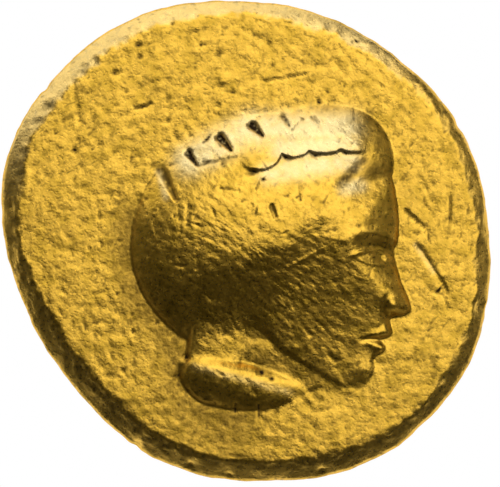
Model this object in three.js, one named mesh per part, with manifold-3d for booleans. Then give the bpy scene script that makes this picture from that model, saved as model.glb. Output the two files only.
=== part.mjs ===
// A struck gold stater lying on its reverse: millimetres, +Z up, origin under the middle of the coin.
// Its upper face carries a head in high relief, bowed forward, and its underside a worn square punch.
import * as THREE from 'three';
import { mergeVertices } from 'three/addons/utils/BufferGeometryUtils.js';
import Module from 'manifold-3d';

const wasm = await Module();
wasm.setup();

// Flan
const flanRadius = 8.69;
const fieldHeight = 1.93;
const fieldSag = 0.10;
const edgeRound = 0.75;
const restRadius = 7.15;
const sectors = 104;
const fieldRings = 36;
const edgeSteps = 4;

// Uneven outline: each lobe swells the radius by depth, count times round, with one swell at toward degrees.
const lobes = [
  { count: 1, depth: 0.13, toward: 25 },
  { count: 2, depth: 0.38, toward: 138 },
  { count: 3, depth: 0.10, toward: 36 },
  { count: 4, depth: 0.06, toward: 58 },
  { count: 5, depth: 0.06, toward: 28 },
  { count: 8, depth: 0.035, toward: 25 },
];

// Cap of hair with its forelock, and the curve along which the cap bends down to the face.
const skull = { x: 1.25, y: -0.20, back: 5.35, front: 3.85, up: 4.75, down: 4.28, rise: 1.45 };
const forelock = { x: 2.95, y: 2.85, long: 2.32, high: 1.98, rise: 0.86 };
const bend = { y: -0.66, tilt: 0.155, curve: 0.065, level: 1.40, slope: 0.42 };

// Neck, the slope below the jaw, and the cut end of the neck with its crest near the upper edge.
const neck = { u: -1.12, v: -3.95, long: 1.00, high: 1.85, turn: -12, rise: 0.34, fall: 0.40 };
const throat = { x: 1.50, y: -3.60, long: 2.20, level: 0.36, slope: 0.20 };
const neckCut = {
  x: -0.95, y: -5.12, back: 1.55, front: 2.80, high: 0.78, turn: -12, rise: 0.62, crest: 0.58,
};
const footRound = 0.44;

// Face: u runs forward and v up, from the middle of the head.
const headX = 0.75;
const headY = -0.10;
const headTilt = -10;
const faceEdge = 0.28;
const cheek = { level: 0.88, lean: 0.22, brow: 0.60, browFall: 0.14, turnAway: 0.018 };

// Side outline of the face on plain proportions: brow, nose, lips and chin share the face in thirds.
const faceOutline = [
  [3.70, 3.30], [4.32, 2.20], [4.55, 1.05], [4.50, 0.50], [4.88, -0.40], [5.42, -1.28], [5.30, -1.62],
  [4.78, -1.85], [4.92, -2.36], [4.62, -2.66], [4.78, -2.98], [4.44, -3.38], [4.55, -3.90], [4.00, -4.48],
  [2.60, -4.20], [0.60, -3.35], [-0.60, -1.80], [0.20, 1.50], [2.00, 3.30],
];
const outlineSteps = 120;

// Grooves and ridges on the face, from one end to the other through a middle point.
const faceStrokes = [
  { path: [[4.60, 0.30], [3.95, 0.42], [3.30, 0.20]], wide: 0.34, rise: -0.17 },
  { path: [[4.35, 0.10], [3.90, 0.34], [3.30, 0.08]], wide: 0.20, rise: 0.13 },
  { path: [[4.52, 0.85], [3.90, 1.35], [2.80, 0.75]], wide: 0.22, rise: 0.08 },
  { path: [[4.75, -2.66], [4.40, -2.66], [3.95, -2.78]], wide: 0.13, rise: -0.13 },
];

// Hair along the crown: gaps between short tufts, from the outer end to the inner.
const gaps = [
  { ends: [[-3.05, 2.58], [-2.50, 1.48]], depth: 0.14 },
  { ends: [[-2.05, 3.12], [-1.76, 2.70]], depth: 0.18 },
  { ends: [[-0.92, 3.68], [-0.52, 3.22]], depth: 0.20 },
  { ends: [[0.22, 4.14], [0.60, 3.74]], depth: 0.20 },
  { ends: [[1.33, 4.46], [1.58, 4.06]], depth: 0.12 },
];
const gapWide = 0.22;

// Rolled fringe above the brow: lobes side by side along a line that rises forward.
const roll = {
  lobes: 4, x: 0.72, y: 3.02, along: 1.05, up: 0.10, long: 0.62, high: 0.44, turn: 6, rise: 0.10,
};

// Square punch on the reverse: four sunk quarters between two crossing bars.
const punch = { side: 8.8, bar: 0.9, depth: 0.35, draft: 0.35, turn: 12 };

const gold = new THREE.MeshStandardMaterial({ color: 0xd4a63c, roughness: 0.34, metalness: 1 });
const rad = THREE.MathUtils.degToRad;
const smoothstep = THREE.MathUtils.smoothstep;

function flanEdge(angle) {
  let radius = flanRadius;
  for (const { count, depth, toward } of lobes) radius += depth * Math.cos(count * (angle - rad(toward)));
  return radius;
}

function softMax(a, b, blend) {
  return (a + b + Math.hypot(a - b, blend)) / 2;
}

function softMin(a, b, blend) {
  return (a + b - Math.hypot(a - b, blend)) / 2;
}

// A point seen from (x0, y0) with the axes turned.
function turned(x, y, x0, y0, degrees) {
  const c = Math.cos(rad(degrees));
  const s = Math.sin(rad(degrees));
  return [(x - x0) * c + (y - y0) * s, (y - y0) * c - (x - x0) * s];
}

// Height of a rounded mass over an ellipse, falling below zero outside it.
function mound(u, v, { u: u0, v: v0, long, high, turn, rise, fall }) {
  const [p, q] = turned(u, v, u0, v0, turn);
  const left = 1 - (p / long) ** 2 - (q / high) ** 2;
  return rise * Math.sign(left) * Math.abs(left) ** fall;
}

function distanceTo(points, x, y) {
  let nearest = Infinity;
  for (let i = 1; i < points.length; i++) {
    const a = points[i - 1];
    const dx = points[i].x - a.x;
    const dy = points[i].y - a.y;
    const t = THREE.MathUtils.clamp(((x - a.x) * dx + (y - a.y) * dy) / (dx * dx + dy * dy), 0, 1);
    nearest = Math.min(nearest, Math.hypot(x - a.x - t * dx, y - a.y - t * dy));
  }
  return nearest;
}

function isInside(points, x, y) {
  let inside = false;
  for (let i = 1; i < points.length; i++) {
    const a = points[i - 1];
    const b = points[i];
    if (a.y > y !== b.y > y && x < a.x + ((b.x - a.x) * (y - a.y)) / (b.y - a.y)) inside = !inside;
  }
  return inside;
}

function arcPoints(path, steps = 12) {
  const [a, b, c] = path.map(([x, y]) => new THREE.Vector2(x, y));
  return new THREE.QuadraticBezierCurve(a, b, c).getPoints(steps);
}

const outlinePoints = [...faceOutline, faceOutline[0]].map(([u, v]) => new THREE.Vector2(u, v));
const outline = new THREE.SplineCurve(outlinePoints).getPoints(outlineSteps);
const strokes = faceStrokes.map((stroke) => ({ ...stroke, points: arcPoints(stroke.path) }));
const gapLines = gaps.map(({ ends, depth }) => ({
  depth,
  points: ends.map(([x, y]) => new THREE.Vector2(x, y)),
}));

function ridge(points, x, y, wide, rise) {
  return rise * Math.exp(-((distanceTo(points, x, y) / wide) ** 2));
}

// A share of a rounded mass as height: curved inside its outline, falling away straight outside it.
function swelling(left, rise, fall) {
  return rise * (left > 0 ? left ** fall : left);
}

function capHeight(x, y) {
  const ahead = (x - skull.x) / (x > skull.x ? skull.front : skull.back);
  const above = (y - skull.y) / (y > skull.y ? skull.up : skull.down);
  const cap = 1 - Math.abs(ahead) ** (ahead > 0 ? 2.6 : 2) - above ** 2;
  const forward = Math.abs((x - forelock.x) / forelock.long);
  const lock = 1 - forward ** 2.4 - ((y - forelock.y) / forelock.high) ** 2;
  const fall = 0.60 + 0.20 * smoothstep(y, 0.5, 3.5);
  const raised = softMax(swelling(cap, skull.rise, fall), swelling(lock, forelock.rise, 0.80), 0.20);
  const turnedUp = 0.55 * smoothstep(x, 1.0, 2.6) + 0.20 * smoothstep(-x, 0.3, 1.8);
  const line = bend.y + bend.tilt * x + bend.curve * x * x + turnedUp;
  return softMin(raised, bend.level + bend.slope * (y - line), 0.20);
}

function neckHeight(x, y) {
  const { crest, high } = neckCut;
  const [u, v] = turned(x, y, neckCut.x, neckCut.y, neckCut.turn);
  const across = v > crest * high ? (v / high - crest) / (1.25 - crest) : (crest - v / high) / (1 + crest);
  const left = 1 - (u / (u > 0 ? neckCut.front : neckCut.back)) ** 2 - across ** 2;
  const rise = neckCut.rise * (1 - 0.20 * smoothstep(u, -0.3, 1.9));
  return softMax(mound(x, y, neck), swelling(left, rise, 0.75), 0.15);
}

function throatHeight(x, y) {
  const down = throat.level + throat.slope * (y - throat.y);
  const up = throat.level - 0.60 * (y - throat.y);
  return softMin(softMin(down, up, 0.20), 1 - ((x - throat.x) / throat.long) ** 2, 0.15);
}

// Rounded front edge of the face, under the broad cheek and brow.
function faceHeight(u, v) {
  const depth = distanceTo(outline, u, v);
  if (!isInside(outline, u, v)) return -3 * depth;
  const edge = Math.sqrt(2 * faceEdge * depth + 0.25 * depth * depth);
  const lean = cheek.lean * (Math.min(v, cheek.brow) + 1);
  const back = cheek.browFall * Math.max(v - cheek.brow, 0) ** 2 + cheek.turnAway * (u - 1) ** 2;
  let height = softMin(edge, cheek.level + lean - back, 0.10);
  for (const { points, wide, rise } of strokes) height += ridge(points, u, v, wide, rise);
  return height;
}

function hairCarving(x, y) {
  let height = 0;
  for (const { points, depth } of gapLines) height -= ridge(points, x, y, gapWide, depth);
  for (let k = 0; k < roll.lobes; k++) {
    const lobe = { ...roll, u: roll.x + roll.along * k, v: roll.y + roll.up * k, fall: 0.5 };
    height += Math.max(mound(x, y, lobe), 0);
  }
  return height;
}

// Height of the struck head above the field.
function relief(x, y) {
  const [u, v] = turned(x, y, headX, headY, headTilt);
  const head = softMax(capHeight(x, y), faceHeight(u, v), 0.12);
  const struck = softMax(softMax(head, neckHeight(x, y), 0.30), throatHeight(x, y), 0.12);
  const carved = struck + hairCarving(x, y) * THREE.MathUtils.clamp(struck / 0.3, 0, 1);
  return Math.max(softMax(carved, 0, footRound) - footRound / 2, 0);
}

// Half-section of the blank flan, from the middle of the reverse round the edge to the middle of the field.
function flanSection() {
  const middle = (fieldHeight - fieldSag) / 2;
  const section = [new THREE.Vector2(0, 0), new THREE.Vector2(restRadius, 0)];
  for (let k = 1; k < 2 * edgeSteps; k++) {
    const angle = (k / (2 * edgeSteps) - 0.5) * Math.PI;
    const out = Math.sign(Math.cos(angle)) * Math.abs(Math.cos(angle)) ** 0.8;
    const reach = k < edgeSteps ? flanRadius - restRadius : edgeRound;
    section.push(new THREE.Vector2(flanRadius - reach * (1 - out), middle * (1 + Math.sin(angle))));
  }
  for (let k = fieldRings; k >= 0; k--) {
    const radius = ((flanRadius - edgeRound) * k) / fieldRings;
    const sag = fieldSag * (radius / (flanRadius - edgeRound)) ** 2;
    section.push(new THREE.Vector2(radius, fieldHeight - sag));
  }
  return section;
}

function struckFlan() {
  const section = flanSection();
  const flan = new THREE.LatheGeometry(section, sectors).rotateX(Math.PI / 2);
  const position = flan.getAttribute('position');
  const fieldStart = section.length - fieldRings;
  for (let i = 0; i < position.count; i++) {
    const angle = Math.atan2(position.getY(i), position.getX(i));
    const swell = flanEdge(angle) / flanRadius;
    const x = position.getX(i) * swell;
    const y = position.getY(i) * swell;
    const onField = i % section.length >= fieldStart;
    position.setXYZ(i, x, y, position.getZ(i) + (onField ? relief(x, y) : 0));
  }
  flan.computeBoundingBox();
  const middle = flan.boundingBox.getCenter(new THREE.Vector3());
  return flan.translate(-middle.x, -middle.y, 0);
}

// One sunk quarter: a square block with sloping walls, its wide end open below the reverse.
function punchQuarter(east, north) {
  const side = (punch.side - punch.bar) / 2;
  const tall = 2 * punch.depth;
  const corner = Math.SQRT1_2;
  const top = (side - punch.draft) * corner;
  const foot = (side + punch.draft) * corner;
  const block = new THREE.CylinderGeometry(top, foot, tall, 4);
  const offset = (side + punch.bar) / 2;
  block.rotateX(Math.PI / 2).rotateZ(Math.PI / 4).translate(east * offset, north * offset, 0);
  return block.rotateZ(rad(punch.turn));
}

function solidFrom(geometry) {
  geometry.deleteAttribute('normal');
  geometry.deleteAttribute('uv');
  const merged = mergeVertices(geometry, 1e-4);
  const vertProperties = merged.getAttribute('position').array;
  const triVerts = new Uint32Array(merged.index.array);
  return new wasm.Manifold(new wasm.Mesh({ numProp: 3, vertProperties, triVerts }));
}

function coinGeometry() {
  let coin = solidFrom(struckFlan());
  for (const east of [-1, 1]) {
    for (const north of [-1, 1]) coin = coin.subtract(solidFrom(punchQuarter(east, north)));
  }
  const { vertProperties, triVerts } = coin.getMesh();
  const geometry = new THREE.BufferGeometry();
  geometry.setAttribute('position', new THREE.BufferAttribute(vertProperties, 3));
  geometry.setIndex(new THREE.BufferAttribute(triVerts, 1));
  geometry.computeVertexNormals();
  return geometry;
}

const stater = new THREE.Group();
const coin = new THREE.Mesh(coinGeometry(), gold);
coin.name = 'coin';
stater.add(coin);

export default stater;
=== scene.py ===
import math
import time
import bpy
import numpy as np
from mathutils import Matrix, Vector, noise


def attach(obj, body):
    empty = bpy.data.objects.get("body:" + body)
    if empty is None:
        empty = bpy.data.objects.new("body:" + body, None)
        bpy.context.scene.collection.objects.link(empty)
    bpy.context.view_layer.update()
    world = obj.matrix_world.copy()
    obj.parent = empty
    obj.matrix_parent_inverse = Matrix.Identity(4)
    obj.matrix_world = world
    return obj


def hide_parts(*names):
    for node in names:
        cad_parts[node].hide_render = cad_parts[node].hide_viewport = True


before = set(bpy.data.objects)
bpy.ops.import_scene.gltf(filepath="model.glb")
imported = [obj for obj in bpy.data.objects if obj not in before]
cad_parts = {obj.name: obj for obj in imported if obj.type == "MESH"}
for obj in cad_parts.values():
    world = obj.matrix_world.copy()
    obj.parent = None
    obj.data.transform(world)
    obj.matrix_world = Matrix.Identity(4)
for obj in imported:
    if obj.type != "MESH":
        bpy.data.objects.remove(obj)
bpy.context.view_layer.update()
mm = 0.001
started = time.time()
print("frame loaded")

# the camera looks straight down, and 28 pixels of the picture are 1 mm on the field
cameraSet = dict(
    distance=300.0, pixelsPerMm=28.0, imageWide=500, imageHigh=487,
    middlePixel=(246, 241),  # where the middle of the flan's lobes lies in the picture
)

flan = dict(
    radius=8.69, field=1.93, sag=0.10, restRadius=7.15,
    bevelWide=0.75, bevelDrop=0.40, bevelPower=1.3, cornerRound=0.13, wallFoot=0.62,
    segments=500, fieldRings=128, bevelRings=12, cornerRings=4, footRings=9, reverseRings=40, firstRing=0.12,
    # width of the bevel by angle, degrees from the right
    bevelTurns=(0, 20, 50, 90, 135, 180, 225, 270, 330, 360), bevelWides=(0.48, 0.46, 0.40, 0.52, 0.72, 0.62, 0.84, 0.80, 0.52, 0.48),
    bevelSlopes=(0.60, 0.58, 0.50, 0.52, 0.56, 0.57, 0.60, 0.58, 0.58, 0.60),
    lobes=[(1, 0.13, 25), (2, 0.38, 138), (3, 0.10, 36), (4, 0.06, 58), (5, 0.06, 28), (8, 0.035, 25)],
)


def smoothMax(a, b, k):
    return 0.5 * (a + b + np.sqrt((a - b) ** 2 + k * k))


def smoothMin(a, b, k):
    return 0.5 * (a + b - np.sqrt((a - b) ** 2 + k * k))


def ease(t):
    t = np.clip(t, 0, 1)
    return t * t * (3 - 2 * t)


def turned(x, y, cx, cy, degrees):
    c, s = math.cos(math.radians(degrees)), math.sin(math.radians(degrees))
    return (x - cx) * c + (y - cy) * s, (y - cy) * c - (x - cx) * s


def mound(x, y, cx, cy, long, high, turn, rise, fall=0.6):
    u, v = turned(x, y, cx, cy, turn)
    left = 1 - (u / long) ** 2 - (v / high) ** 2
    return rise * np.sign(left) * np.abs(left) ** fall


def dab(x, y, cx, cy, long, high, turn, rise):
    u, v = turned(x, y, cx, cy, turn)
    return rise * np.exp(-((u / long) ** 2 + (v / high) ** 2))


def curvePoints(points, count=16):
    points = np.array(points, float)
    if len(points) == 2:
        return points
    t = np.linspace(0, 1, count)[:, None]
    a, b, c = points
    return (1 - t) ** 2 * a + 2 * t * (1 - t) * b + t * t * c


def closedCurve(points, perSpan):
    points = np.array(points, float)
    made = []
    for k in range(len(points)):
        p0, p1, p2, p3 = (points[(k + j) % len(points)] for j in (-1, 0, 1, 2))
        for t in np.arange(perSpan) / perSpan:
            made.append(0.5 * (2 * p1 + (p2 - p0) * t + (2 * p0 - 5 * p1 + 4 * p2 - p3) * t * t
                               + (3 * p1 - p0 - 3 * p2 + p3) * t ** 3))
    return np.array(made + made[:1])


def alongCurve(x, y, line):
    best = np.full(x.shape, 1e9)
    share = np.zeros(x.shape)
    for k in range(len(line) - 1):
        px, py = line[k]
        dx, dy = line[k + 1] - line[k]
        f = np.clip(((x - px) * dx + (y - py) * dy) / max(dx * dx + dy * dy, 1e-12), 0, 1)
        away = np.hypot(x - px - f * dx, y - py - f * dy)
        nearer = away < best
        best[nearer] = away[nearer]
        share[nearer] = (k + f[nearer]) / (len(line) - 1)
    return best, share


def insideCurve(x, y, loop):
    odd = np.zeros(x.shape, bool)
    for (x0, y0), (x1, y1) in zip(loop[:-1], loop[1:]):
        if y0 != y1:
            odd ^= ((y0 > y) != (y1 > y)) & (x < (x1 - x0) * (y - y0) / (y1 - y0) + x0)
    return odd


def stroke(x, y, points, wide, rise, edge=2.0):
    # wide and rise are (start, end) pairs; only the part of the mesh near the line is worked on
    line = curvePoints(points)
    reach = 3 * max(wide)
    low, high = line.min(0) - reach, line.max(0) + reach
    near = (x > low[0]) & (x < high[0]) & (y > low[1]) & (y < high[1])
    made = np.zeros(x.shape)
    away, share = alongCurve(x[near], y[near], line)
    w = wide[0] + (wide[1] - wide[0]) * share
    h = rise[0] + (rise[1] - rise[0]) * share
    made[near] = h * np.exp(-np.abs(away / w) ** edge)
    return made


def grain(x, y, scale, seed, octaves=3, creased=False):
    # fractal noise on the coin's face, scale in mm, about -1 to 1
    offset = Vector((seed * 17.3, seed * 5.1, seed * 9.7))
    made = np.empty(len(x))
    for k, (px, py) in enumerate(zip(x / scale, y / scale)):
        p = Vector((px, py, 0)) + offset
        made[k] = noise.ridged_multi_fractal(p, 0.9, 2.1, octaves, 0.9, 2.0) if creased else noise.fractal(p, 0.9, 2.1, octaves)
    return made - made.mean() if creased else made


# the head in relief, in mm from the middle of the flan
head = dict(
    skull=(1.25, -0.20, 5.35, 3.85, 4.75, 4.28, 1.45),  # middle, half lengths back and front, half heights, rise
    forelock=(2.95, 2.85, 2.32, 1.98, 0.86),
    ridge=(-0.66, 0.155, 0.065, 1.40, 0.42),  # the cap of hair bends down along this curve
    neck=(-1.12, -3.95, 1.00, 1.85, -12, 0.34, 0.40),
    lens=(-0.95, -5.12, 1.55, 2.80, 0.78, -12, 0.62, 0.58),
    throat=(1.50, 2.20, -3.60, 0.36, 0.20),  # middle and half length across, top, its height, fall
    fillet=0.44,
)

# the face: u runs forward and v up, from the middle of the head
face = dict(
    centre=(0.75, -0.10), tilt=-10.0, edge=0.28, level=0.88, lean=0.22,
    outline=[(3.70, 3.30), (4.32, 2.20), (4.55, 1.05), (4.50, 0.50), (4.88, -0.40), (5.42, -1.28), (5.30, -1.62),
             (4.78, -1.85), (4.92, -2.36), (4.62, -2.66), (4.78, -2.98), (4.44, -3.38), (4.55, -3.90),
             (4.00, -4.48), (2.60, -4.20), (0.60, -3.35), (-0.60, -1.80), (0.20, 1.50), (2.00, 3.30)],
)


def skullHeight(x, y):
    cx, cy, back, front, up, down, rise = head["skull"]
    ahead = (x - cx) / np.where(x > cx, front, back)
    left = 1 - np.where(ahead > 0, np.abs(ahead) ** 2.6, ahead ** 2) - ((y - cy) / np.where(y > cy, up, down)) ** 2
    cap = rise * np.where(left > 0, np.abs(left) ** (0.60 + 0.20 * ease((y - 0.5) / 3)), left)  # gentler at the top
    cx, cy, long, high, rise = head["forelock"]
    left = 1 - np.abs((x - cx) / long) ** 2.4 - ((y - cy) / high) ** 2
    cap = smoothMax(cap, rise * np.where(left > 0, np.abs(left) ** 0.8, left), 0.20)
    a, b, c, level, slope = head["ridge"]
    bend = a + b * x + c * x * x + 0.55 * ease((x - 1.0) / 1.6) + 0.20 * ease((-0.3 - x) / 1.5)
    return smoothMin(cap, level + slope * (y - bend), 0.20)


def faceHeight(x, y):
    u, v = turned(x, y, *face["centre"], face["tilt"])
    loop = closedCurve(face["outline"], 10)
    away, share = alongCurve(u, v, loop)
    inside = insideCurve(u, v, loop)
    edge = np.sqrt(2 * face["edge"] * away + 0.25 * away * away)
    front = face["level"] + face["lean"] * (np.minimum(v, 0.6) + 1) - 0.14 * np.maximum(v - 0.6, 0) ** 2 - 0.018 * (u - 1) ** 2
    made = smoothMin(edge, front, 0.10)
    made = made - dab(u, v, 3.92, 0.32, 0.55, 0.42, -8, 0.20)   # eye socket
    made = made + dab(u, v, 3.80, 0.22, 0.36, 0.22, -8, 0.14)   # eyeball
    made = made + stroke(u, v, [(4.32, 0.22), (3.95, 0.70), (3.05, 0.12)], (0.09, 0.07), (0.11, 0.05))
    made = made + stroke(u, v, [(4.25, 0.02), (3.80, -0.16), (3.20, 0.10)], (0.07, 0.06), (0.07, 0.03))
    made = made + stroke(u, v, [(4.52, 0.85), (3.90, 1.35), (2.80, 0.75)], (0.20, 0.16), (0.09, 0.03))
    made = made + dab(u, v, 4.80, -1.45, 0.22, 0.24, 0, 0.14)   # wing of the nose
    made = made - stroke(u, v, [(4.55, -1.10), (4.40, -1.50), (4.62, -1.75)], (0.10, 0.08), (0.06, 0.09))
    made = made - stroke(u, v, [(4.75, -2.66), (4.40, -2.66), (3.95, -2.78)], (0.09, 0.07), (0.16, 0.07))
    made = made + stroke(u, v, [(4.80, -2.38), (4.45, -2.42), (4.05, -2.64)], (0.15, 0.08), (0.09, 0.02))
    made = made + stroke(u, v, [(4.70, -2.98), (4.40, -2.98), (4.05, -2.80)], (0.15, 0.08), (0.09, 0.02))
    made = made + dab(u, v, 4.15, -3.88, 0.45, 0.42, 0, 0.12)   # chin
    return np.where(inside, made, -3 * away)


def neckHeight(x, y):
    plateau = mound(x, y, *head["neck"])
    cx, cy, back, front, high, turn, rise, crest = head["lens"]  # cut end of the neck, its crest near the upper edge
    u, v = turned(x, y, cx, cy, turn)
    across = np.where(v > crest * high, (v / high - crest) / (1.25 - crest), (crest - v / high) / (1 + crest))
    left = 1 - (u / np.where(u > 0, front, back)) ** 2 - across ** 2
    rise = rise * (1 - 0.20 * ease((u + 0.3) / 2.2))  # lower towards the front
    return smoothMax(plateau, rise * np.sign(left) * np.abs(left) ** 0.75, 0.15)


# hair round the crown: pits between the tufts, and the rolled fringe with its scalloped lower edge
crown = dict(
    pits=[((-3.05, 2.58), (-2.50, 1.48), 0.20, 0.14, 0.65), ((-2.05, 3.12), (-1.76, 2.70), 0.14, 0.18, 1.0),
          ((-0.92, 3.68), (-0.52, 3.22), 0.16, 0.20, 1.0), ((0.22, 4.14), (0.60, 3.74), 0.16, 0.20, 1.0),
          ((1.33, 4.46), (1.58, 4.06), 0.10, 0.12, 0.7), ((2.40, 4.40), (2.62, 4.16), 0.08, 0.08, 0.5)],
    shadowNotches=[(0.22, 2.44, 0.20, 0.10, 15), (1.44, 2.97, 0.18, 0.07, -25), (2.42, 3.07, 0.16, 0.06, -25), (3.52, 3.14, 0.12, 0.05, -20)],
    pitReach=0.55,
    cusps=[(-0.28, 2.95), (1.27, 3.06), (2.24, 3.15), (3.37, 3.20), (4.50, 3.24)], sags=[0.56, 0.20, 0.14, 0.14],
    edgeRise=0.10, edgeFade=0.80,
    lines=[((-1.70, 2.69), (-0.36, 2.99), 0.055, 0.06), ((-1.55, 2.82), (-0.80, 2.95), 0.04, 0.03),
           ((-0.90, 1.88), (-0.25, 1.80), 0.05, 0.03), ((0.90, 1.22), (1.05, 0.85), 0.08, 0.08),
           ((-2.05, 1.25), (-2.08, 0.55), 0.05, 0.04), ((3.45, 2.12), (4.25, 2.86), 0.22, 0.05)],
)


def rollEdge(x):
    low = np.where(x < 0, crown["cusps"][0][1], crown["cusps"][-1][1])
    for (x0, y0), (x1, y1), sag in zip(crown["cusps"][:-1], crown["cusps"][1:], crown["sags"]):
        share = np.clip((x - x0) / (x1 - x0), 0, 1)
        arc = y0 + (y1 - y0) * share - sag * np.sqrt(1 - (2 * share - 1) ** 2)
        low = np.where((x >= x0) & (x < x1), arc, low)
    return low


def hairCarving(x, y):
    above = y - rollEdge(x)
    steep = (rollEdge(x + 0.02) - rollEdge(x - 0.02)) / 0.04 * np.exp(-(above / 0.2) ** 2)
    above = above / np.hypot(1, steep)
    ends = ease((x - crown["cusps"][0][0]) / 0.55) * ease((crown["cusps"][-1][0] - x) / 0.6)
    made = crown["edgeRise"] * ease(above / 0.15) * np.exp(-(np.maximum(above, 0) / crown["edgeFade"]) ** 2) * ends
    # painted shade: a thin dark line along the roll's lower edge, where its step faces away from the light
    grimeAndShade = 0.30 * np.exp(-((above - 0.02) / 0.035) ** 2) * ends
    # small dents under the roll's lobes, painted dark as the shadow below each lobe
    for cx, cy, long, high, turn in crown["shadowNotches"]:
        made -= dab(x, y, cx, cy, long, high, turn, 0.07)
        grimeAndShade += dab(x, y, cx, cy, long, high, turn, 1.0)
    for outer, inner, wide, depth, dark in crown["pits"]:
        made -= stroke(x, y, [outer, inner], (wide, 0.3 * wide), (depth, 0.7 * depth), 3)
        grimeAndShade += stroke(x, y, [outer, inner], (0.95 * wide, 0.3 * wide), (dark, dark), 4)
        way = np.array(outer) - np.array(inner)
        tip = np.array(outer) + way / np.hypot(*way) * crown["pitReach"]
        made -= stroke(x, y, [outer, tip], (0.8 * wide, 0.5 * wide), (0.25 * depth, 0.05 * depth))
    for start, end, wide, depth in crown["lines"]:
        made -= stroke(x, y, [start, end], (wide, 0.7 * wide), (depth, depth))
        grimeAndShade += stroke(x, y, [start, end], (wide, 0.7 * wide), (0.7, 0.5), 2)
    return made, grimeAndShade


def relief(x, y):
    struck = smoothMax(skullHeight(x, y), faceHeight(x, y), 0.12)
    struck = smoothMax(struck, neckHeight(x, y), 0.30)
    cx, long, start, level, slope = head["throat"]
    struck = smoothMax(struck, smoothMin(smoothMin(level + slope * (y - start), level - 0.6 * (y - start), 0.2), 1.0 - ((x - cx) / long) ** 2, 0.15), 0.12)
    carved, grimeAndShade = hairCarving(x, y)
    struck = struck + carved * np.clip(struck / 0.3, 0, 1)
    made = smoothMax(struck, 0.0, head["fillet"]) - head["fillet"] / 2
    foot = np.exp(-((struck + 0.10) / 0.38) ** 2) * ease((2.6 - y) / 2) * ease((1.5 - x) / 2)  # painted shade in the corner of head and field, on its lower and left sides only
    return np.maximum(made, 0), np.maximum(grimeAndShade, 0.44 * foot)


def flanTop(r, drop):
    return flan["field"] - flan["sag"] * (r / flan["radius"]) ** 2 - drop


def flanSection():
    s = flan
    points = [(0.0, 0.0)] + [(r, 0.0) for r in np.linspace(s["firstRing"], s["restRadius"], s["reverseRings"])]
    for k in range(1, s["footRings"] + 1):  # round foot of the edge
        a = k / s["footRings"] * math.pi / 2
        points.append((s["restRadius"] + (s["radius"] - s["restRadius"]) * math.sin(a), s["wallFoot"] * (1 - math.cos(a))))
    corner = flanTop(s["radius"], s["bevelDrop"]) - s["cornerRound"]
    for k in range(s["cornerRings"] + 1):  # small corner between wall and bevel
        a = k / s["cornerRings"] * math.pi / 3
        points.append((s["radius"] - s["cornerRound"] * (1 - math.cos(a)), corner + s["cornerRound"] * math.sin(a)))
    outer = points[-1][0]
    inner = s["radius"] - s["bevelWide"]
    for r in np.linspace(outer, inner, s["bevelRings"] + 1)[1:-1]:
        points.append((r, flanTop(r, s["bevelDrop"] * (r - inner) / (outer - inner))))
    for r in np.linspace(inner, s["firstRing"], s["fieldRings"]):
        points.append((r, flanTop(r, 0)))
    return points + [(0.0, s["field"])]


def spinFlan():
    section = flanSection()
    bpy.ops.object.select_all(action="DESELECT")
    bpy.ops.mesh.primitive_plane_add(size=0.1)
    coin = bpy.context.object
    coin.name = "stater"
    bpy.ops.object.mode_set(mode="EDIT")
    bpy.ops.mesh.select_all(action="SELECT")
    bpy.ops.mesh.merge(type="CENTER")  # one vertex to draw the half-section with
    for (r0, z0), (r1, z1) in zip(section[:-1], section[1:]):
        bpy.ops.mesh.extrude_vertices_move(TRANSFORM_OT_translate={"value": (r1 - r0, 0, z1 - z0)})
    bpy.ops.mesh.select_all(action="SELECT")
    bpy.ops.mesh.spin(steps=flan["segments"], angle=2 * math.pi, center=(0, 0, 0), axis=(0, 0, 1))
    bpy.ops.mesh.select_all(action="SELECT")
    bpy.ops.mesh.remove_doubles(threshold=0.0001)
    bpy.ops.mesh.normals_make_consistent(inside=False)
    bpy.ops.object.mode_set(mode="OBJECT")
    return coin


def flanEdge(angle):
    return flan["radius"] + sum(d * np.cos(n * (angle - math.radians(at))) for n, d, at in flan["lobes"])


def outlineMiddle():
    a = np.linspace(0, 2 * math.pi, 720)
    x, y = flanEdge(a) * np.cos(a), flanEdge(a) * np.sin(a)
    return np.array([(x.min() + x.max()) / 2, (y.min() + y.max()) / 2])
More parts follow.
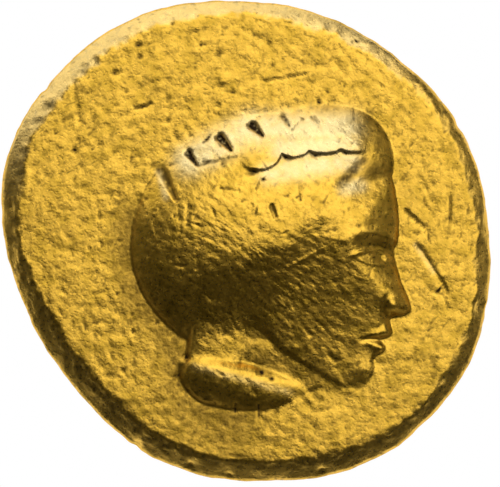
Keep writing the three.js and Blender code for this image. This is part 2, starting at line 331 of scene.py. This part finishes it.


# marks of use on the face and painted shade, in mm from the middle of the flan: start, end, half width, depth, darkness
marks = dict(
    cuts=[((6.28, -0.24), (7.14, -1.66), 0.04, 0.02, 0.5), ((7.03, -1.69), (7.20, -2.43), 0.05, 0.03, 0.5),
          ((-6.29, 6.29), (-5.96, 4.25), 0.08, 0.04, 0.2), ((-5.86, 5.45), (-5.96, 5.05), 0.05, 0.03, 0.4),
          ((-3.96, 4.72), (-3.60, 4.80), 0.045, 0.04, 0.7), ((-3.66, 4.80), (-3.36, 4.92), 0.05, 0.04, 0.8),
          ((0.68, 5.68), (1.10, 5.80), 0.045, 0.04, 0.6), ((1.16, 5.78), (1.42, 5.83), 0.04, 0.03, 0.5),
          ((1.50, 5.86), (2.12, 5.97), 0.045, 0.04, 0.7), ((5.68, 1.07), (6.39, 0.46), 0.06, 0.05, 0.6),
          ((7.29, 1.57), (7.25, 0.57), 0.045, 0.04, 0.6), ((-0.36, -5.80), (-0.38, -6.12), 0.06, 0.06, 0.8),
          # the last two cuts run along the nape's edge; their dark is painted shadow
          ((0.46, -5.85), (0.47, -6.30), 0.06, 0.06, 0.8), ((-2.05, -3.12), (-2.12, -4.20), 0.15, 0.06, 0.42),
          ((-2.12, -4.20), (-2.48, -4.90), 0.15, 0.06, 0.45)],
    burrs=[((1.46, -0.96), (2.82, -0.21), 0.05, 0.030), ((-3.71, 1.75), (-3.43, 0.61), 0.05, 0.025),
           ((-3.43, 0.61), (-3.07, -0.43), 0.05, 0.025)],
    pits=[(-3.86, 7.00, 0.10), (-3.79, 6.57, 0.09), (-4.70, 6.00, 0.07), (0.56, -4.70, 0.09), (0.92, -4.92, 0.09),
          (-3.20, -2.95, 0.06), (-4.05, -3.25, 0.06), (-4.60, -1.90, 0.05)],
    nicks=[(8.36, -2.35, 0.22, 0.10), (-2.00, -8.00, 0.10, 0.10), (2.71, -8.18, 0.10, 0.10), (-3.90, -7.28, 0.16, 0.08),
           (-7.14, 5.46, 0.20, 0.07), (7.64, 4.14, 0.25, 0.08), (-8.40, 1.20, 0.12, 0.06), (-0.60, -8.36, 0.09, 0.07)],
    gouge=(6.62, -1.02, -57, 1.15, 0.09, 0.055),  # middle, turn, half length, half width, depth
    # dark patches painted as shade: on the neck's cut end under the jaw, below the jaw, and beside the hair's top and
    # front end
    shadePatches=[(4.55, 2.50, 0.55, 0.42, 0.5), (4.75, 3.55, 0.22, 0.45, 0.45), (2.90, 4.70, 0.75, 0.30, 0.3),
            (1.10, -4.45, 0.90, 0.30, 0.34), (0.50, -3.75, 0.35, 0.75, 0.32)],
    strayCuts=260, strayPits=60, seed=11,
)


def useMarks(x, y):
    made, grimeAndShade = np.zeros(x.shape), np.zeros(x.shape)
    for start, end, wide, depth, dark in marks["cuts"]:
        made -= stroke(x, y, [start, end], (wide, 0.7 * wide), (depth, depth), 3)
        grimeAndShade += stroke(x, y, [start, end], (wide, 0.7 * wide), (dark, dark), 3)
    cx, cy, turn, long, wide, depth = marks["gouge"]  # one slanting cut, deep along its right edge
    u, v = turned(x, y, cx, cy, turn)
    made -= depth * np.clip(0.5 + 0.5 * v / wide, 0, 1) * ease((wide + 0.03 - np.abs(v)) / 0.06) * ease((long - np.abs(u)) / 0.2)
    for start, end, wide, rise in marks["burrs"]:
        made += stroke(x, y, [start, end], (wide, wide), (rise, 0.5 * rise))
    for cx, cy, size in marks["pits"]:
        made -= dab(x, y, cx, cy, size, size, 0, 0.05)
        grimeAndShade += dab(x, y, cx, cy, size, size, 0, 0.9)
    # painted shade patches
    for cx, cy, long, high, dark in marks["shadePatches"]:
        grimeAndShade += dab(x, y, cx, cy, long, high, 0, dark)
    draw = np.random.default_rng(marks["seed"])
    for k in range(marks["strayCuts"]):
        r, a = 8.2 * math.sqrt(draw.random()), draw.random() * 2 * math.pi
        way, long = draw.random() * math.pi, 0.12 + 0.55 * draw.random() ** 2
        start = (r * math.cos(a), r * math.sin(a))
        end = (start[0] + long * math.cos(way), start[1] + long * math.sin(way))
        depth = 0.010 + 0.025 * draw.random()
        made -= stroke(x, y, [start, end], (0.055, 0.04), (depth, 0.3 * depth))
        grimeAndShade += stroke(x, y, [start, end], (0.05, 0.03), (0.75, 0.2)) * (draw.random() < 0.55)
    for k in range(marks["strayPits"]):
        r, a = 8.2 * math.sqrt(draw.random()), draw.random() * 2 * math.pi
        size = 0.035 + 0.035 * draw.random()
        dent = dab(x, y, r * math.cos(a), r * math.sin(a), size, 0.8 * size, 40, 1.0)
        made -= 0.025 * dent
        grimeAndShade += (0.3 + 0.4 * draw.random()) * dent
    return made, grimeAndShade


# worn square punch on the underside, in quarters
punch = dict(side=8.8, bar=0.9, depth=0.35, draft=0.5, turn=12)


def punchDepth(x, y):
    made = np.zeros(x.shape)
    half = (punch["side"] - punch["bar"]) / 4
    offset = half + punch["bar"] / 2
    for east in (-1, 1):
        for north in (-1, 1):
            u, v = turned(x, y, 0, 0, punch["turn"])
            inside = half - np.maximum(np.abs(u - east * offset), np.abs(v - north * offset))
            made = np.maximum(made, punch["depth"] * ease(inside / punch["draft"] + 0.5))
    return made


# painted highlights, paler gold on the hair, lens top and cut edge where the top light falls: start, end, half width,
# share
highlightStrokes = [((-2.00, 2.90), (0.20, 4.05), 0.60, 0.95), ((0.10, 3.95), (3.60, 4.00), 0.62, 1.0), ((1.30, 3.30), (3.60, 3.45), 0.50, 1.0),
          ((0.80, 2.42), (3.70, 2.85), 0.40, 0.95), ((-3.12, 2.45), (-2.86, 1.55), 0.13, 0.6), ((3.55, 1.90), (4.05, 1.98), 0.28, 0.8),
          ((-1.85, -4.50), (1.60, -5.40), 0.14, 0.3), ((6.06, -0.14), (6.70, -1.10), 0.10, 0.3)]


def strikeCoin(coin):
    count = len(coin.data.vertices)
    place = np.empty(count * 3)
    coin.data.vertices.foreach_get("co", place)
    place = place.reshape(-1, 3)
    radius = np.hypot(place[:, 0], place[:, 1])
    angle = np.arctan2(place[:, 1], place[:, 0])
    swell = flanEdge(angle) / flan["radius"]
    x, y, z = place[:, 0] * swell, place[:, 1] * swell, place[:, 2].copy()
    top = z > flanTop(flan["radius"], flan["bevelDrop"]) - 0.02
    under = z < 0.01
    grimeAndShade, paintedHighlight = np.zeros(count), np.zeros(count)
    tx, ty = x[top], y[top]
    swellNoise, crease, fine = grain(tx, ty, 1.5, 1, 2), grain(tx, ty, 0.50, 2, 3, True), grain(tx, ty, 0.26, 3, 2)
    print("grain", round(time.time() - started, 1))
    # the bevel along the rim, its inner line wandering
    wide = np.interp(np.degrees(angle[top]) % 360, flan["bevelTurns"], flan["bevelWides"]) + 0.20 * swellNoise + 0.16 * fine - 0.10 * crease
    inward = (flan["radius"] - radius[top]) * swell[top]
    bevel = np.clip(1 - (inward - 0.06) / np.maximum(wide, 0.3), 0, 1)
    turn = np.degrees(angle) % 360
    drop = np.interp(turn, flan["bevelTurns"], flan["bevelSlopes"]) * np.interp(turn, flan["bevelTurns"], flan["bevelWides"])
    z[top] = flanTop(radius[top], drop[top] * bevel ** flan["bevelPower"])
    wall = ~top & ~under
    corner = flanTop(flan["radius"], flan["bevelDrop"])
    z[wall] += ((flan["bevelDrop"] - drop) * ease((z - flan["wallFoot"]) / (corner - flan["wallFoot"])))[wall]
    height, grimeAndShade[top] = relief(tx, ty)
    print("relief", round(time.time() - started, 1))
    cut, dirtAndShade = useMarks(tx, ty)
    print("marks", round(time.time() - started, 1))
    onHead = ease(height / 0.3)
    along, across = turned(tx, ty, 1, 0, -38)
    strands = grain(0.3 * along, across, 0.14, 5, 2)
    rough = 0.016 * swellNoise - 0.014 * crease * (1 - 0.35 * onHead) + 0.010 * fine + 0.008 * strands * onHead
    # painted shade in the field's deepest creases, less on the head
    low, high = np.percentile(crease, (88, 99.5))
    grimeAndShade[top] = np.maximum(grimeAndShade[top], 0.5 * ease((crease - low) / (high - low)) * (1 - 0.7 * onHead))
    z[top] += height + cut + rough * (1 + 0.3 * bevel)
    grimeAndShade[top] = np.maximum(grimeAndShade[top], dirtAndShade)
    for start, end, size, share in highlightStrokes:
        paintedHighlight[top] = np.maximum(paintedHighlight[top], stroke(tx, ty, [start, end], (size, size), (share, share), 2.5))
    paintedHighlight[top] *= np.clip(0.95 + 0.35 * fine + 0.25 * swellNoise, 0, 1.15)
    # paler along the bevel all round as wear, with a painted highlight stronger along the upper side of the rim
    paintedHighlight[top] = np.maximum(paintedHighlight[top], ease(bevel / 0.3) * (0.10 + 0.45 * ease((np.sin(angle[top] - 0.26) - 0.35) / 0.4)))
    ux, uy = x[under], y[under]
    sunk = punchDepth(ux, uy)
    worn = grain(ux, uy, 0.7, 4)
    z[under] += np.maximum(sunk + 0.03 * worn, 0) * (radius[under] < flan["restRadius"] - 0.2)
    # darker on the punch's walls and in its sunken quarters, and in a noise
    grimeAndShade[under] = 0.6 * np.exp(-((sunk - 0.5 * punch["depth"]) / 0.12) ** 2) + 0.16 * np.maximum(worn, 0) + 0.30 * ease(sunk / punch["depth"])
    wallX, wallY = angle[wall] * 8.7, z[wall]
    worn = grain(wallX, wallY, 0.8, 8)
    # the edge darker towards the bottom, and in a noise
    grimeAndShade[wall] = 0.22 * ease((0.75 - wallY) / 0.6) + 0.35 * np.maximum(worn, 0)
    bulge = np.zeros(count)
    bulge[wall] = 0.03 * worn * ease((wallY - 0.1) / 0.3)
    # ragged outline and nicks
    near = ease((radius - flan["radius"] + 1.0) / 1.0)
    ring = near > 0
    ragged = np.zeros(count)
    ragged[ring] = 0.035 * grain(np.cos(angle[ring]) * 8.7, np.sin(angle[ring]) * 8.7, 1.1, 6, 3) * near[ring]
    for cx, cy, size, depth in marks["nicks"]:
        dent = dab(x, y, cx, cy, size, size, 0, depth) * near
        ragged -= dent
        z -= 0.7 * dent * (z > 0.9)
    x, y = x * (1 + (ragged + bulge) / 8.7), y * (1 + (ragged + bulge) / 8.7)
    coin.data.vertices.foreach_set("co", np.column_stack([x, y, z]).ravel())
    coin.data.update()
    for name, value in (("grimeAndShade", grimeAndShade), ("paintedHighlight", paintedHighlight)):
        mask = coin.data.attributes.new(name, "FLOAT", "POINT")
        mask.data.foreach_set("value", np.clip(value, 0, 1).astype(np.float32))


coin = spinFlan()
print("flan spun:", len(coin.data.vertices), "points", round(time.time() - started, 1))
strikeCoin(coin)
middle = outlineMiddle()
bpy.ops.object.select_all(action="DESELECT")
coin.select_set(True)
bpy.context.view_layer.objects.active = coin
coin.location = (-middle[0] * mm, -middle[1] * mm, 0)
coin.scale = (mm, mm, mm)
bpy.ops.object.transform_apply(location=True, rotation=True, scale=True)
bpy.ops.object.shade_smooth()
print("coin struck", round(time.time() - started, 1))

gold = dict(
    base=(1.0, 0.59, 0.072, 1), toned=(0.76, 0.45, 0.046, 1), brown=(0.34, 0.20, 0.026, 1), highlightGold=(1.0, 0.77, 0.34, 1), depositAndShade=(0.034, 0.021, 0.010, 1),
    roughness=0.31, bump=0.013,
)


def goldMaterial():
    made = bpy.data.materials.new("wornGold")
    made.use_nodes = True
    nodes, links = made.node_tree.nodes, made.node_tree.links
    shader = nodes["Principled BSDF"]
    place = nodes.new("ShaderNodeTexCoord")
    scaled = nodes.new("ShaderNodeMapping")
    scaled.inputs["Scale"].default_value = (1000, 1000, 1000)  # pattern sizes in mm
    links.new(place.outputs["Object"], scaled.inputs["Vector"])

    def noiseNode(scale, detail):
        one = nodes.new("ShaderNodeTexNoise")
        one.inputs["Scale"].default_value = scale
        one.inputs["Detail"].default_value = detail
        links.new(scaled.outputs["Vector"], one.inputs["Vector"])
        return one.outputs["Fac"]

    def attributeNode(name):
        one = nodes.new("ShaderNodeAttribute")
        one.attribute_name = name
        return one.outputs["Fac"]

    def rangeNode(value, low, high, toLow, toHigh):
        one = nodes.new("ShaderNodeMapRange")
        for socket, number in zip(("From Min", "From Max", "To Min", "To Max"), (low, high, toLow, toHigh)):
            one.inputs[socket].default_value = number
        links.new(value, one.inputs["Value"])
        return one.outputs["Result"]

    def mixNode(factor, a, b):
        one = nodes.new("ShaderNodeMix")
        one.data_type = "RGBA"
        links.new(factor, one.inputs["Factor"])
        for socket, value in ((one.inputs[6], a), (one.inputs[7], b)):
            if isinstance(value, tuple):
                socket.default_value = value
            else:
                links.new(value, socket)
        return one.outputs[2]

    def mathNode(operation, a, b):
        one = nodes.new("ShaderNodeMath")
        one.operation = operation
        for socket, value in zip(one.inputs, (a, b)):
            if isinstance(value, (int, float)):
                socket.default_value = value
            else:
                links.new(value, socket)
        return one.outputs["Value"]

    patches = rangeNode(noiseNode(1.7, 6), 0.44, 0.66, 0, 1)
    fine = noiseNode(11, 4)
    tone = mixNode(patches, gold["base"], gold["toned"])
    tone = mixNode(rangeNode(noiseNode(4.5, 6), 0.53, 0.74, 0, 0.9), tone, gold["brown"])
    # painted highlight: paler gold where the highlight mask lies
    tone = mixNode(attributeNode("paintedHighlight"), tone, gold["highlightGold"])
    # the dark mask turns the gold dark brown: in the hair's pits, marks and punch, and as painted shade in creases,
    # along edges and beside the head
    broken = rangeNode(noiseNode(6, 3), 0.25, 0.55, 0.5, 1.25)
    dark = mathNode("MULTIPLY", attributeNode("grimeAndShade"), broken)
    dark = rangeNode(dark, 0.12, 0.95, 0, 1)
    links.new(mixNode(dark, tone, gold["depositAndShade"]), shader.inputs["Base Color"])
    shader.inputs["Metallic"].default_value = 1.0
    rough = mathNode("ADD", rangeNode(fine, 0.3, 0.7, gold["roughness"] - 0.06, gold["roughness"] + 0.06), mathNode("MULTIPLY", dark, 0.25))
    links.new(rough, shader.inputs["Roughness"])
    creases = nodes.new("ShaderNodeTexNoise")
    creases.noise_type = "RIDGED_MULTIFRACTAL"
    creases.inputs["Scale"].default_value = 3.2
    creases.inputs["Detail"].default_value = 3
    links.new(scaled.outputs["Vector"], creases.inputs["Vector"])
    bump = nodes.new("ShaderNodeBump")
    bump.inputs["Strength"].default_value = 1.0
    bump.inputs["Distance"].default_value = gold["bump"] * mm
    links.new(mathNode("SUBTRACT", fine, mathNode("MULTIPLY", creases.outputs["Fac"], 0.30)), bump.inputs["Height"])
    links.new(bump.outputs["Normal"], shader.inputs["Normal"])
    return made


coin.data.materials.append(goldMaterial())
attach(coin, "root")
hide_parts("coin")

stage = dict(
    floorWide=4.0, floorColor=(0.95, 0.95, 0.95, 1), floorGlow=0.45, roomLight=0.017,
    panels=[  # name, place, size, radiance
        ("keyPanel", (0.08, 0.25, 0.27), (0.56, 0.17), 0.30),
        ("overPanel", (0.06, 0.103, 0.30), (0.51, 0.31), 1.23),
        ("topPanel", (-0.14, 0.36, 0.12), (0.70, 0.30), 1.05),
        ("frontPanel", (0, -0.40, 0.10), (0.60, 0.16), 0.07),
        ("leftFill", (-0.40, 0, 0.14), (0.30, 0.24), 0.05),
        ("rightFill", (0.40, 0, 0.14), (0.30, 0.24), 0.05),
    ],
)


def makeFloor():
    bpy.ops.object.select_all(action="DESELECT")
    bpy.ops.mesh.primitive_plane_add(size=stage["floorWide"])
    floor = bpy.context.object
    floor.name = "floor"
    paper = bpy.data.materials.new("paleFloor")
    paper.use_nodes = True
    nodes, links = paper.node_tree.nodes, paper.node_tree.links
    shader = nodes["Principled BSDF"]
    shader.inputs["Base Color"].default_value = stage["floorColor"]
    shader.inputs["Roughness"].default_value = 0.9
    shader.inputs["Specular IOR Level"].default_value = 0.0
    shader.inputs["Emission Color"].default_value = (1, 1, 1, 1)
    shader.inputs["Emission Strength"].default_value = stage["floorGlow"]
    white = nodes.new("ShaderNodeEmission")  # what the camera sees of the floor
    seen = nodes.new("ShaderNodeLightPath")
    paperMix = nodes.new("ShaderNodeMixShader")
    links.new(seen.outputs["Is Camera Ray"], paperMix.inputs["Fac"])
    links.new(shader.outputs["BSDF"], paperMix.inputs[1])
    links.new(white.outputs["Emission"], paperMix.inputs[2])
    clear = nodes.new("ShaderNodeBsdfTransparent")
    side = nodes.new("ShaderNodeNewGeometry")
    mix = nodes.new("ShaderNodeMixShader")
    links.new(side.outputs["Backfacing"], mix.inputs["Fac"])
    links.new(paperMix.outputs["Shader"], mix.inputs[1])
    links.new(clear.outputs["BSDF"], mix.inputs[2])
    links.new(mix.outputs["Shader"], nodes["Material Output"].inputs["Surface"])
    floor.data.materials.append(paper)


def makeLights():
    for name, at, size, radiance in stage["panels"]:
        data = bpy.data.lights.new(name, "AREA")
        data.shape = "RECTANGLE"
        data.size, data.size_y = size
        data.energy = radiance * math.pi * size[0] * size[1]
        lamp = bpy.data.objects.new(name, data)
        bpy.context.scene.collection.objects.link(lamp)
        lamp.location = at
        lamp.rotation_euler = (-Vector(at)).to_track_quat("-Z", "Y").to_euler()
        lamp.visible_camera = False
    world = bpy.data.worlds.new("room")
    world.use_nodes = True
    world.node_tree.nodes["Background"].inputs["Color"].default_value = (1, 1, 1, 1)
    world.node_tree.nodes["Background"].inputs["Strength"].default_value = stage["roomLight"]
    bpy.context.scene.world = world


def makeCamera():
    s = cameraSet
    data = bpy.data.cameras.new("camera")
    camera = bpy.data.objects.new("camera", data)
    bpy.context.scene.collection.objects.link(camera)
    wide = s["imageWide"] / s["pixelsPerMm"]
    data.sensor_width = 36.0
    data.lens = data.sensor_width * s["distance"] / wide
    data.clip_start, data.clip_end = 0.005, 10
    x = (s["imageWide"] / 2 - s["middlePixel"][0]) / s["pixelsPerMm"] - middle[0]
    y = (s["middlePixel"][1] - s["imageHigh"] / 2) / s["pixelsPerMm"] - middle[1]
    camera.location = (x * mm, y * mm, (s["distance"] + flan["field"]) * mm)
    bpy.context.scene.camera = camera


makeFloor()
makeLights()
makeCamera()
bpy.context.scene.view_settings.view_transform = "Standard"
print("stage set")
